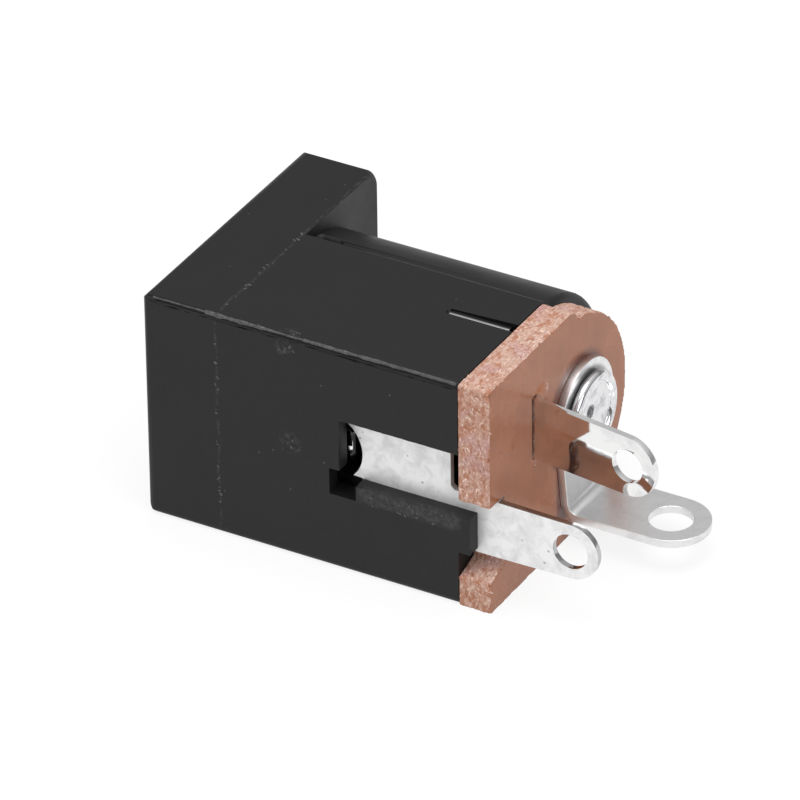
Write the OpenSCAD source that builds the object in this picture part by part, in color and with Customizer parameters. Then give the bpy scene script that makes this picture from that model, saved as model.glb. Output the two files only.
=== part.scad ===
// Panel power jack for a barrel plug, solder-lug type.
// Origin: bore axis at the front face. +X runs from the mouth to the lugs,
// -Y is the base side with the spring window, Z crosses the 9 mm width.

/* [Housing] */
// Width of the flange and of the flat sides (Z)
housing_w = 9; // [8.9:0.05:9.6]
// Distance from the base face to the bore axis
base_to_axis = 6.5; // [6.4:0.05:7]
// Distance from the bore axis to the far edge of the flange
flange_rise = 4.66; // [4.3:0.05:5.5]
// Length of the flange along the bore
flange_l = 3.1; // [1.5:0.1:3.3]
// Radius round the front edges of the flange
flange_edge_r = 0.35; // [0.1:0.05:0.45]
// Length of the whole moulding along the bore
housing_l = 12.55; // [12.4:0.05:13.4]
// Radius of the round barrel behind the flange
barrel_r = 4.06; // [4:0.02:4.28]
// Radius round the rear edge of the barrel
barrel_edge_r = 0.3; // [0.1:0.05:0.4]
// Height of the flat sides above the base face
side_h = 6.3; // [6:0.05:6.45]
// Radius of the long moulded edges
edge_r = 0.25; // [0.1:0.05:0.3]
// Length of the hollow at the root of the flange
hollow_l = 1.1; // [0.7:0.1:1.5]
// Width of the hollow
hollow_w = 0.75; // [0.6:0.05:0.9]

/* [Bore] */
// Radius of the plug bore
bore_r = 3.15; // [3.05:0.01:3.2]
// Radius of the wider mouth
mouth_r = 3.4; // [3.38:0.01:3.6]
// Depth of the straight part of the mouth
mouth_l = 0.9; // [0.6:0.05:1.2]
// Length of the cone from the mouth down to the bore
lead_in_l = 0.3; // [0.2:0.05:0.5]

/* [Spring window] */
// Thickness of the base wall outside the spring
base_wall = 0.57; // [0.5:0.01:0.6]
// Front end of the window along the bore
window_x = 7.85; // [7.7:0.05:7.95]
// Height of the window's upper edge above the axis
window_top = 1.62; // [1.5:0.02:1.66]
// Depth of the window's lower edge below the axis
window_low = 0.88; // [0.8:0.02:1]
// Length of the relief in the window's front corner
relief_l = 1.05; // [0.9:0.05:1.2]
// Depth of the relief below the window's lower edge
relief_drop = 0.59; // [0.4:0.01:0.62]
// Reach of the locating tongue past the rear face
tongue_l = 0.45; // [0.3:0.05:0.8]
// Height of the locating tongue
tongue_h = 1.45; // [1.2:0.05:1.6]

/* [Back board] */
// Thickness of the laminated board
board_t = 1.25; // [1:0.05:1.6]
// Radius of the board's round end
board_r = 4.08; // [3.9:0.02:4.2]
// Distance of the round end's centre below the bore axis
board_drop = 0.72; // [0.5:0.02:0.8]
// Radius of the board's corners beside the round end
shoulder_edge_r = 0.45; // [0.2:0.05:0.6]
// Depth of the notch for the sleeve lug
notch_d = 1; // [0.95:0.01:1.2]

/* [Sheet contacts] */
// Thickness of the two spring sheets
sheet_t = 0.24; // [0.2:0.01:0.3]
// Radius of the tight bends, on the middle of the sheet
bend_r = 0.3; // [0.25:0.01:0.35]
// Clearance of the sheet in its slots
slot_gap = 0.05; // [0.03:0.01:0.06]
// Gap between the spring and the switch finger, just short of touching
touch_gap = 0.02; // [0.01:0.005:0.03]

/* [Sleeve contact] */
// Width of the sleeve lug
sleeve_lug_w = 2.25; // [2.1:0.05:2.35]
// Height of the lug's middle below the axis
sleeve_lug_drop = 1.36; // [1.3:0.01:1.42]
// Reach of the eye's centre past the board
sleeve_eye_x = 2.82; // [2.4:0.05:4]
// Radius of the sleeve lug's round end
sleeve_end_r = 1.08; // [1.05:0.01:1.2]
// Radius of the sleeve lug's eye
sleeve_eye_r = 0.68; // [0.55:0.01:0.75]
// Width of the spring nose that touches the plug
nose_w = 2.2; // [1.8:0.05:2.4]
// Distance from the bore axis to the nose's crest
nose_reach = 2.55; // [2.5:0.01:2.7]
// Distance from the front face to the nose's crest
crest_x = 4.5; // [4.2:0.05:4.7]
// Slope of the nose's ramp on the mouth side
nose_front_slope = 48; // [40:1:52]
// Slope of the nose's back, toward the lugs
nose_back_slope = 58; // [56:1:64]
// Radius of the round end of the opening in the spring
opening_r = 1.36; // [1.2:0.02:1.4]

/* [Switch contact] */
// Width of the switch lug
switch_lug_w = 2.4; // [2.2:0.05:2.5]
// Height of the switch lug's middle above the axis
switch_lug_rise = 1.35; // [1.34:0.01:1.42]
// Distance from the bore axis to the middle of the switch sheet
switch_drop = 3.28; // [3.2:0.01:3.34]
// Angle at which the lug leans to the base side
switch_lean = 8; // [0:0.5:12]
// Reach of the eye's centre along the leaning lug
switch_eye_x = 4.02; // [3.5:0.05:5]
// Radius of the switch lug's round end
switch_end_r = 1.16; // [1.05:0.01:1.2]
// Radius of the switch lug's eye
switch_eye_r = 0.64; // [0.55:0.01:0.75]
// Width of the finger that rests against the spring
finger_w = 1.2; // [0.9:0.05:1.3]
// Length of the anchoring wing along the bore
wing_l = 2.35; // [2:0.05:2.5]

/* [Centre pin] */
// Radius of the centre pin
pin_r = 1; // [0.95:0.01:1.05]
// Distance from the front face to the pin's end
pin_recess = 1.2; // [1:0.05:1.5]
// Radius of the pin's round shoulder
shoulder_r = 1.9; // [1.6:0.05:2]
// Length of the shoulder in front of the board
shoulder_l = 1; // [0.8:0.05:1.2]
// Radius of the tail that passes through the board
tail_r = 0.9; // [0.8:0.01:0.92]
// Radius of the rolled head
head_r = 1.6; // [1.5:0.02:1.65]
// Height of the rolled head
head_h = 0.38; // [0.3:0.02:0.5]
// Offset of the rolled head from the pin's axis
head_rise = 0.24; // [0:0.02:0.28]

/* [Pin terminal] */
// Thickness of the terminal's sheet
terminal_t = 0.3; // [0.25:0.01:0.34]
// Radius of the terminal's bend, on the middle of the sheet
terminal_bend_r = 0.5; // [0.3:0.05:0.6]
// Outer radius of the ring under the rolled head
ring_r = 1.9; // [1.84:0.02:2.04]
// Offset of the ring's middle from the pin's axis
ring_rise = 0.36; // [0:0.02:0.42]
// Width of the pin lug
pin_lug_w = 2.86; // [2.6:0.02:3]
// Distance from the axis down to the lug's upper face
pin_lug_drop = 3.15; // [3.1:0.05:3.4]
// Reach of the eye's centre past the board
pin_eye_x = 3.6; // [3:0.05:4.5]
// Radius of the pin lug's eye
pin_eye_r = 0.8; // [0.6:0.01:0.9]

/* [Hidden] */
$fn = 96;
eps = 0.05;
far = 30;
half_w = housing_w / 2;
board_x = housing_l;
board_back = board_x + board_t;
side_y = side_h - base_to_axis;
base_inner = -base_to_axis + base_wall;
window_z = [-window_low, window_top];

// Spring sheet: its outer face lies on the inside of the base wall
spring_mid = base_inner + sheet_t / 2;
spring_top = window_top + 0.2;
spring_low = -sleeve_lug_drop - sleeve_lug_w / 2;
spring_end = board_x - 0.6;
opening_z = 0.07;
opening_x = window_x + 0.6 - opening_r;
opening_low = -window_low - relief_drop - 0.04;
slope_x = window_x + 1.4;
slope_rise = 0.11;
edge_strip_w = 0.7;

// Nose: two slopes that meet at a rounded crest, behind a cross bar
nose_corner = (180 - nose_front_slope - nose_back_slope) / 2;
crest_y = -nose_reach - sheet_t / 2 + bend_r * (1 / sin(nose_corner) - 1);
nose_bend_x = crest_x + (crest_y - spring_mid - slope_rise) / tan(nose_back_slope);
nose_tip_l = 1;
bar_x = nose_bend_x + 0.1;
bar_w = 0.45;
pocket_x = crest_x - nose_tip_l - 0.4;
pocket_side = 0.2;
pocket_edge_r = 0.3;

// Switch sheet: its fold to the wing and the finger's resting place
wing_mid = -2.45;
wing_end = 0.15;
wing_x = board_x - wing_end - wing_l;
wing_recess = 0.03;
slit_lead = 0.15;
slit_spread = 0.15;
fold_t = sheet_t + 2 * slot_gap;
fold_z = switch_lug_rise + switch_lug_w / 2 + 0.12;
fold_h = 0.65;
finger_rest_x = window_x + 0.75;
finger_rise = slope_rise * (slope_x - finger_rest_x) / (slope_x - nose_bend_x);
finger_rest_y = spring_mid + finger_rise + sheet_t + touch_gap;
finger_tip_x = window_x - 0.4;
finger_tip_rise = 0.42;
finger_start = 0.4;
finger_flat_l = 0.5;
finger_z = -0.05;

// Chamber behind the spring, joined to the bore
chamber_z = [-1, 1.2];
chamber_lead = 1;
chamber_depth = -switch_drop + 0.5;

// Hollow between the flange and the barrel, beside both flat sides
hollow_floor = 3.55;
hollow_edge_r = 0.28;

// Board: notch beside the locating tongue
notch_low = -window_low - tongue_h - 0.95;
notch_slope = 0.3;
board_edge_r = 0.05;

// Rolled head: rim, base plate and the dished floor inside the rim
rim_r = head_h / 2;
floor_h = 0.1;
dish_edge = head_r - rim_r;
dish_rise = rim_r * 1.3 - floor_h;
dish_r = (dish_edge * dish_edge + dish_rise * dish_rise) / (2 * dish_rise);
pin_tip_r = 0.35;

// Terminal seen along the bore: from the ring to the lug
neck_y = 1.68;
neck_z = [-1.3, -2.9];
lug_flat_x = 1.5;

// ---------- helpers ----------

// Turns a flat (Y, Z) drawing into a solid along X, from x0 to x1
module along_x(x0, x1) {
    translate([x0, 0, 0])
        rotate([90, 0, 90])
            linear_extrude(height = x1 - x0)
                children();
}

// Turns a flat (X, Z) drawing into a solid along Y, from y0 to y1
module along_y(y0, y1) {
    translate([0, y1, 0])
        rotate([90, 0, 0])
            linear_extrude(height = y1 - y0)
                children();
}

// Box given by its lowest and highest corners
module block(low, high) {
    translate(low)
        cube(high - low);
}

// Cylinder about the bore axis, from x0 to x1
module rod(x0, x1, r0, r1) {
    translate([x0, 0, 0])
        rotate([0, 90, 0])
            cylinder(h = x1 - x0, r1 = r0, r2 = r1);
}

// Flat rectangle with round corners
module round_rect(low, high, r) {
    translate([low[0] + r, low[1]])
        square([high[0] - low[0] - 2 * r, high[1] - low[1]]);
    translate([low[0], low[1] + r])
        square([high[0] - low[0], high[1] - low[1] - 2 * r]);
    for (x = [low[0] + r, high[0] - r])
        for (y = [low[1] + r, high[1] - r])
            translate([x, y])
                circle(r, $fn = 24);
}

function unit(v) = v / norm(v);

// Points of the arc that rounds the corner b between a and c
function corner_arc(a, b, c, r, steps) =
    let (u = unit(a - b),
         w = unit(c - b),
         half = acos(u * w) / 2,
         centre = b + unit(u + w) * r / sin(half),
         from = b + u * r / tan(half) - centre,
         to = b + w * r / tan(half) - centre,
         start = atan2(from[1], from[0]),
         raw = atan2(to[1], to[0]) - start,
         sweep = raw > 180 ? raw - 360 : raw < -180 ? raw + 360 : raw)
    [for (i = [0:steps]) centre + r * [cos(start + sweep * i / steps), sin(start + sweep * i / steps)]];

// Middle line of a bent sheet, with every inner corner rounded
function bent_line(points, r) =
    [points[0],
     for (i = [1:len(points) - 2]) each corner_arc(points[i - 1], points[i], points[i + 1], r, 6),
     points[len(points) - 1]];

// Direction across the line at point i, stretched to keep the thickness
function across(line, i) =
    let (last = len(line) - 1,
         before = unit(line[max(i, 1)] - line[max(i, 1) - 1]),
         after = unit(line[min(i, last - 1) + 1] - line[min(i, last - 1)]),
         mean = unit(before + after))
    [-mean[1], mean[0]] / (mean * after);

// Cross-section of a bent sheet of thickness t along a line of points
module sheet_section(points, r, t) {
    line = bent_line(points, r);
    last = len(line) - 1;
    polygon([for (i = [0:last]) line[i] + across(line, i) * t / 2,
             for (i = [last:-1:0]) line[i] - across(line, i) * t / 2]);
}

// Flat solder lug in the XZ plane: starts at x = 0 and ends round its eye
module eye_lug(eye_x, width, end_r, eye_r, thick) {
    difference() {
        along_y(-thick / 2, thick / 2) {
            polygon([[0, -width / 2], [eye_x, -end_r], [eye_x, end_r], [0, width / 2]]);
            translate([eye_x, 0])
                circle(end_r);
        }
        translate([eye_x, 0, 0])
            rotate([90, 0, 0])
                cylinder(h = 4 * thick, r = eye_r, center = true);
    }
}

// ---------- housing ----------

// Flat outline square at its far end and rounded at x = 0
module rounded_front(low, high, r) {
    translate([0, low])
        round_rect([0, 0], [4 * r, high - low], r);
    translate([2 * r, low])
        square([flange_l - 2 * r, high - low]);
}

module flange() {
    intersection() {
        along_x(0, flange_l)
            round_rect([-base_to_axis, -half_w], [flange_rise, half_w], edge_r);
        along_y(-far, far)
            rounded_front(-half_w, half_w, flange_edge_r);
        translate([0, 0, -half_w])
            linear_extrude(height = housing_w)
                rounded_front(-base_to_axis, flange_rise, flange_edge_r);
    }
}

// Round barrel with a rounded rear edge, and the flat-sided part below it
module body() {
    root = flange_l - 1;
    translate([root, 0, 0])
        rotate([0, 90, 0])
            rotate_extrude() {
                square([barrel_r, housing_l - root - barrel_edge_r]);
                square([barrel_r - barrel_edge_r, housing_l - root]);
                intersection() {
                    translate([barrel_r - barrel_edge_r, housing_l - root - barrel_edge_r])
                        circle(barrel_edge_r, $fn = 40);
                    square([barrel_r, housing_l]);
                }
            }
    along_x(root, housing_l)
        round_rect([-base_to_axis, -half_w], [side_y, half_w], edge_r);
}

// Hollow with round corners beside each flat side
module hollows() {
    for (low_z = [-far, hollow_floor])
        translate([0, 0, low_z])
            linear_extrude(height = far - hollow_floor)
                round_rect([flange_l, side_y - 0.02], [flange_l + hollow_l, side_y + hollow_w], hollow_edge_r);
}

module spring_window() {
    low_y = -base_to_axis - eps;
    block([window_x, low_y, window_z[0]], [far, base_inner + eps, window_z[1]]);
    block([window_x - 0.4, low_y, window_z[0] - relief_drop],
          [window_x - 0.4 + relief_l, base_inner + eps, window_z[0] + 0.45]);
}

// Space for the spring: a channel for its edges and a deep pocket for its nose
module spring_space() {
    inner = base_inner + sheet_t + slot_gap;
    low_z = spring_low - slot_gap;
    top_z = spring_top + slot_gap;
    block([slope_x, base_inner, low_z], [far, inner, top_z]);
    block([bar_x - 0.3, base_inner, low_z], [slope_x + eps, inner + slope_rise + 0.1, top_z]);
    along_y(base_inner, -bore_r * 0.7)
        round_rect([pocket_x, -nose_w / 2 - pocket_side],
                   [window_x + eps, nose_w / 2 + pocket_side], pocket_edge_r);
}

// Space for the switch contact: chamber, sheet slot, fold and wing slit
module switch_space() {
    front = wing_x - slit_lead + fold_t / 2;
    low = wing_mid - fold_t / 2;
    high = wing_mid + fold_t / 2;
    block([window_x - chamber_lead, base_inner, chamber_z[0]], [far, chamber_depth, chamber_z[1]]);
    along_x(wing_x - slot_gap, far)
        sheet_section(switch_fold(-2), bend_r, fold_t);
    translate([0, 0, fold_z + fold_h - 0.1])
        linear_extrude(height = far) {
            translate([front, wing_mid])
                circle(fold_t / 2, $fn = 40);
            polygon([[front, low],
                     [far, low],
                     [far, high + slit_spread],
                     [board_x, high + slit_spread],
                     [front, high]]);
        }
}

module housing() {
    color("#222222")
        difference() {
            union() {
                flange();
                body();
                block([housing_l - 1, -base_to_axis, -window_low - tongue_h],
                      [housing_l + tongue_l, base_inner, -window_low]);
            }
            rod(-eps, housing_l + eps, bore_r, bore_r);
            rod(-eps, mouth_l, mouth_r, mouth_r);
            rod(mouth_l, mouth_l + lead_in_l, mouth_r, bore_r);
            spring_window();
            spring_space();
            switch_space();
            hollows();
        }
}

// ---------- back board ----------

module board_outline() {
    round_rect([-base_to_axis, -half_w], [side_y - 1, half_w], board_edge_r);
    round_rect([-base_to_axis + 1, -half_w], [side_y, half_w], shoulder_edge_r);
    translate([-board_drop, 0])
        circle(board_r);
}

module back_board() {
    notch_top = -sleeve_lug_drop + sleeve_lug_w / 2 + slot_gap;
    color("#b07350")
        difference() {
            along_x(board_x, board_back)
                board_outline();
            along_x(board_x - eps, board_back + eps)
                polygon([[-far, notch_low],
                         [-base_to_axis, notch_low],
                         [-base_to_axis + notch_d, notch_low + notch_slope],
                         [-base_to_axis + notch_d, notch_top],
                         [-far, notch_top]]);
            block([board_x - eps, -switch_drop - sheet_t / 2 - slot_gap,
                   switch_lug_rise - switch_lug_w / 2 - slot_gap],
                  [board_back + eps, -switch_drop + sheet_t / 2 + slot_gap,
                   switch_lug_rise + switch_lug_w / 2 + slot_gap]);
            rod(board_x - eps, board_back + eps, tail_r + touch_gap, tail_r + touch_gap);
        }
}

// ---------- centre pin ----------

// Half section of the rolled head: a round rim about a dished floor
module head_section() {
    square([dish_edge, floor_h]);
    translate([dish_edge, rim_r])
        circle(rim_r, $fn = 40);
    difference() {
        square([dish_edge, rim_r * 1.3]);
        translate([0, floor_h + dish_r])
            circle(dish_r, $fn = 200);
    }
}

module centre_pin() {
    tip_r = pin_tip_r;
    head_x = board_back + terminal_t;
    color("#d8d8d6") {
        translate([pin_recess, 0, 0])
            rotate([0, 90, 0])
                rotate_extrude()
                    union() {
                        translate([0, tip_r])
                            square([pin_r, board_x - pin_recess - tip_r]);
                        square([pin_r - tip_r, board_x - pin_recess]);
                        intersection() {
                            square([pin_r, pin_r]);
                            translate([pin_r - tip_r, tip_r])
                                circle(tip_r, $fn = 40);
                        }
                    }
        rod(board_x - shoulder_l, board_x, shoulder_r, shoulder_r);
        rod(board_x - eps, head_x + eps, tail_r, tail_r);
        translate([head_x, 0, head_rise])
            rotate([0, 90, 0])
                rotate_extrude()
                    head_section();
    }
}

// ---------- pin terminal ----------

// Outline seen along the bore: ring, neck and the width of the lug
module terminal_outline() {
    low = -pin_lug_drop - terminal_t - eps;
    translate([0, ring_rise])
        circle(ring_r);
    polygon([[-ring_r, ring_rise],
             [-neck_y, neck_z[0]],
             [-pin_lug_w / 2, neck_z[1]],
             [-pin_lug_w / 2, low],
             [pin_lug_w / 2, low],
             [pin_lug_w / 2, neck_z[1]],
             [neck_y, neck_z[0]],
             [ring_r, ring_rise]]);
}

module pin_terminal() {
    mid_x = board_back + terminal_t / 2;
    mid_z = -pin_lug_drop - terminal_t / 2;
    top_z = ring_rise + ring_r + eps;
    section = [[mid_x, top_z], [mid_x, mid_z], [board_back + lug_flat_x + 0.1, mid_z]];
    color("#d8d8d6")
        difference() {
            union() {
                intersection() {
                    translate([0, 2 * ring_r, 0])
                        rotate([90, 0, 0])
                            linear_extrude(height = 4 * ring_r)
                                sheet_section(section, terminal_bend_r, terminal_t);
                    along_x(0, far)
                        terminal_outline();
                }
                translate([board_back + lug_flat_x, 0, mid_z])
                    rotate([90, 0, 0])
                        eye_lug(pin_eye_x - lug_flat_x, pin_lug_w, pin_lug_w / 2, pin_eye_r, terminal_t);
            }
            rod(board_back - eps, board_back + terminal_t + eps, tail_r + touch_gap, tail_r + touch_gap);
        }
}

// ---------- sleeve contact ----------

// The spring seen square to its sheet: body, arms round the opening, nose
module spring_outline() {
    shoulder_z = -sleeve_lug_drop + sleeve_lug_w / 2;
    relief_end = window_x - 0.4 + relief_l + 0.04;
    difference() {
        polygon([[bar_x, opening_low - edge_strip_w],
                 [slope_x, opening_low - edge_strip_w],
                 [slope_x + 0.3, spring_low],
                 [board_back, spring_low],
                 [board_back, shoulder_z],
                 [spring_end + 0.15, shoulder_z],
                 [spring_end, shoulder_z + 0.15],
                 [spring_end, spring_top],
                 [bar_x, spring_top]]);
        intersection() {
            translate([opening_x, opening_z])
                circle(opening_r);
            translate([bar_x + bar_w, opening_low])
                square(2 * opening_r + 1);
        }
        round_rect([bar_x + bar_w, opening_low], [opening_x + 0.67, opening_z + 0.9 * opening_r], 0.2);
        round_rect([bar_x + bar_w, opening_low], [relief_end, -window_low], 0.2);
    }
    translate([0, -nose_w / 2])
        square([bar_x + bar_w / 2, nose_w]);
}

module sleeve_contact() {
    section = [[board_back, spring_mid],
               [slope_x, spring_mid],
               [nose_bend_x, spring_mid + slope_rise],
               [crest_x, crest_y],
               [crest_x - nose_tip_l, crest_y - nose_tip_l * tan(nose_front_slope)]];
    color("#dcdcda") {
        intersection() {
            translate([0, 0, -half_w])
                linear_extrude(height = housing_w)
                    sheet_section(section, bend_r, sheet_t);
            along_y(-far, far)
                spring_outline();
        }
        translate([board_back - eps, spring_mid, -sleeve_lug_drop])
            eye_lug(sleeve_eye_x + eps, sleeve_lug_w, sleeve_end_r, sleeve_eye_r, sheet_t);
    }
}

// ---------- switch contact ----------

// Middle line of the sheet across the bore: flat, folded over, then the wing
function switch_fold(low_z) =
    [[-switch_drop, low_z],
     [-switch_drop, fold_z],
     [wing_mid, fold_z + fold_h],
     [wing_mid, half_w]];

module switch_contact() {
    sheet_low = finger_z - finger_w / 2;
    finger = [[wing_x + finger_start, -switch_drop],
              [wing_x - 0.15, -switch_drop],
              [finger_rest_x + finger_flat_l, finger_rest_y],
              [finger_rest_x, finger_rest_y],
              [finger_tip_x - 0.2, finger_rest_y + finger_tip_rise]];
    color("#dcdcda") {
        // Anchoring part with its folded wing
        intersection() {
            along_x(wing_x, wing_x + wing_l)
                sheet_section(switch_fold(sheet_low), bend_r, sheet_t);
            block([0, -far, -half_w], [far, far, half_w - wing_recess]);
        }
        // Straight stretch through the board
        along_y(-switch_drop - sheet_t / 2, -switch_drop + sheet_t / 2)
            translate([wing_x, switch_lug_rise - switch_lug_w / 2])
                square([board_back - wing_x, switch_lug_w]);
        // Finger that bears on the inner face of the spring
        intersection() {
            translate([0, 0, sheet_low])
                linear_extrude(height = finger_w)
                    sheet_section(finger, bend_r, sheet_t);
            along_y(-far, far) {
                translate([finger_tip_x + finger_w / 2, finger_z])
                    circle(finger_w / 2);
                translate([finger_tip_x + finger_w / 2, sheet_low])
                    square([far, finger_w]);
            }
        }
        // Leaning solder lug
        translate([board_back, -switch_drop, switch_lug_rise])
            rotate([0, 0, -switch_lean])
                translate([-eps, 0, 0])
                    eye_lug(switch_eye_x + eps, switch_lug_w, switch_end_r, switch_eye_r, sheet_t);
    }
}

housing();
back_board();
centre_pin();
pin_terminal();
sleeve_contact();
switch_contact();
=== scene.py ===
import math

import bmesh
import bpy
from mathutils import Matrix, Vector, noise


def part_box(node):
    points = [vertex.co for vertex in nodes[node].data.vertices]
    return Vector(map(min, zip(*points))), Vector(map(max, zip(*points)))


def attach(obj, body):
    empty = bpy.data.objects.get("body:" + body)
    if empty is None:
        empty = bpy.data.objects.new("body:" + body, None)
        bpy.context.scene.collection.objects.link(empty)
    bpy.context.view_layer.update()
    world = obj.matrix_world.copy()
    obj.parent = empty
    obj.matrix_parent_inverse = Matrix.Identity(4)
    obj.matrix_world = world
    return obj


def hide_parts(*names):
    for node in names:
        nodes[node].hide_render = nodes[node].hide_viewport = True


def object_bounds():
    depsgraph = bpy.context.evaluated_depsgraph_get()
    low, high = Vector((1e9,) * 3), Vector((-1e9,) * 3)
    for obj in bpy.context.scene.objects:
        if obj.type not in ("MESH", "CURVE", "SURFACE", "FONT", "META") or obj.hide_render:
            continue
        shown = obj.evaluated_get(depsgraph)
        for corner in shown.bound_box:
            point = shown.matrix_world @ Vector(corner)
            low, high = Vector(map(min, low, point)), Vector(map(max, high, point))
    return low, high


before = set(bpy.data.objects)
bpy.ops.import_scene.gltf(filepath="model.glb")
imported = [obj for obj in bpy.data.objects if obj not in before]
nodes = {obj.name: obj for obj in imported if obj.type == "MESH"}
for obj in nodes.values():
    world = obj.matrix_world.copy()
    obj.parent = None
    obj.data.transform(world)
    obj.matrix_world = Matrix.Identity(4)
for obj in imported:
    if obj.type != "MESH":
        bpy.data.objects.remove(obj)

cadLow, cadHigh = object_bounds()
print("frame loaded")

mm = 0.001

# Places that several pieces share, all worked out from the frame
housingLow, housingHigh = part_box("housing")
boardLow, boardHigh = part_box("back_board")
boardBack = boardHigh.x
halfWide, base = housingHigh.z / mm, housingLow.y / mm  # mm, side and base faces of the housing


# Puts data into the scene as an object
def newObject(name, data):
    made = bpy.data.objects.new(name, data)
    bpy.context.scene.collection.objects.link(made)
    return made


# The plain mesh that an object has with its modifiers applied
def evaluatedMesh(source):
    graph = bpy.context.evaluated_depsgraph_get()
    graph.update()
    return bpy.data.meshes.new_from_object(source.evaluated_get(graph), depsgraph=graph)


# A closed mesh whose faces all point outwards
def closedMesh(name, points, faces):
    mesh = bpy.data.meshes.new(name)
    mesh.from_pydata(points, [], faces)
    work = bmesh.new()
    work.from_mesh(mesh)
    bmesh.ops.recalc_face_normals(work, faces=work.faces)
    work.to_mesh(mesh)
    work.free()
    return mesh


def bevelEdges(work, edges, radius, segments=3):
    return bmesh.ops.bevel(work, geom=edges, offset=radius * mm, offset_type="OFFSET", segments=segments,
                           profile=0.5, affect="EDGES", clamp_overlap=True)


# Camera: azimuth 0 looks along +Y, and it climbs with the elevation
cameraView = {
    "azimuth": 29.783,
    "elevation": 32.238,
    "roll": -0.75,
    "aim": (7.0, -1.0, 0.0),  # mm
    "distance": 302.34,       # mm
    "frameWidth": 28.015,     # mm across the picture at the aim
    "slideRight": 0.1516,     # mm that the picture's middle lies beside the aim
    "slideDown": 0.7084,
    "sensor": 36.0,
}


def makeCamera(view):
    az = math.radians(view["azimuth"])
    el = math.radians(view["elevation"])
    roll = math.radians(view["roll"])
    back = Vector((math.sin(az) * math.cos(el), -math.cos(az) * math.cos(el), math.sin(el)))
    right = Vector((math.cos(az), math.sin(az), 0))
    up = back.cross(right)
    turnedRight = right * math.cos(roll) + up * math.sin(roll)
    turnedUp = up * math.cos(roll) - right * math.sin(roll)
    aim = Vector(view["aim"]) + turnedRight * view["slideRight"] - turnedUp * view["slideDown"]
    data = bpy.data.cameras.new("camera")
    data.sensor_width = view["sensor"]
    data.lens = view["sensor"] * view["distance"] / view["frameWidth"]
    data.clip_start = 0.01
    data.clip_end = 20
    camera = newObject("camera", data)
    turn = Matrix((turnedRight, turnedUp, back)).transposed().to_4x4()
    camera.matrix_world = Matrix.Translation((aim + back * view["distance"]) * mm) @ turn
    bpy.context.scene.camera = camera


makeCamera(cameraView)
print("camera placed")


# Small helpers for node trees
def newMaterial(name, **sockets):
    material = bpy.data.materials.new(name)
    material.use_nodes = True
    tree = material.node_tree
    shader = tree.nodes["Principled BSDF"]
    for socket, value in sockets.items():
        shader.inputs[socket.replace("_", " ")].default_value = value
    return material, tree, shader


def addNode(tree, kind, inputs=None, **settings):
    node = tree.nodes.new(kind)
    for key, value in settings.items():
        setattr(node, key, value)
    for key, value in (inputs or {}).items():
        if isinstance(value, bpy.types.NodeSocket):
            tree.links.new(value, node.inputs[key])
        else:
            node.inputs[key].default_value = value
    return node


# Object coordinates in millimetres, stretched where a grain runs along one way
def millimetres(tree, stretch=(1, 1, 1)):
    coordinates = addNode(tree, "ShaderNodeTexCoord")
    scale = [share / mm for share in stretch]
    mapping = addNode(tree, "ShaderNodeMapping", {"Vector": coordinates.outputs["Object"], "Scale": scale})
    return mapping.outputs["Vector"]


def noiseOf(tree, vector, scale, detail=3.0, roughness=0.5, distortion=0.0):
    node = addNode(tree, "ShaderNodeTexNoise", {"Vector": vector, "Scale": scale, "Detail": detail,
                                               "Roughness": roughness, "Distortion": distortion})
    return node.outputs["Fac"]


def stepOf(tree, value, low, high, outLow=0.0, outHigh=1.0):
    node = addNode(tree, "ShaderNodeMapRange", {"Value": value, "From Min": low, "From Max": high,
                                               "To Min": outLow, "To Max": outHigh})
    return node.outputs["Result"]


def mathOf(tree, operation, a, b=0.0):
    node = addNode(tree, "ShaderNodeMath", {0: a, 1: b}, operation=operation)
    return node.outputs[0]


def blendOf(tree, factor, a, b):
    node = addNode(tree, "ShaderNodeMix", {0: factor, 6: a, 7: b}, data_type="RGBA")
    return node.outputs[2]


def bumpOf(tree, height, strength, distance, normal=None):
    inputs = {"Height": height, "Strength": strength, "Distance": distance}
    if normal is not None:
        inputs["Normal"] = normal
    return addNode(tree, "ShaderNodeBump", inputs).outputs["Normal"]


def maxOf(tree, a, b):
    return mathOf(tree, "MAXIMUM", a, b)


def timesOf(tree, a, b):
    return mathOf(tree, "MULTIPLY", a, b)


# 1 near a point, 0 beyond its reach, both in millimetres
def nearPoint(tree, place, point, reach, core=0.3):
    away = addNode(tree, "ShaderNodeVectorMath", {0: place, 1: point}, operation="DISTANCE").outputs["Value"]
    return stepOf(tree, away, reach, reach * core)


# 1 inside a box whose sides fade over the given width, in millimetres
def insideBox(tree, place, low, high, fade=0.05):
    axes = addNode(tree, "ShaderNodeSeparateXYZ", {0: place})
    inside = None
    for axis in range(3):
        value = axes.outputs[axis]
        side = timesOf(tree, stepOf(tree, value, low[axis] - fade, low[axis] + fade),
                       stepOf(tree, value, high[axis] + fade, high[axis] - fade))
        inside = side if inside is None else timesOf(tree, inside, side)
    return inside


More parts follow.
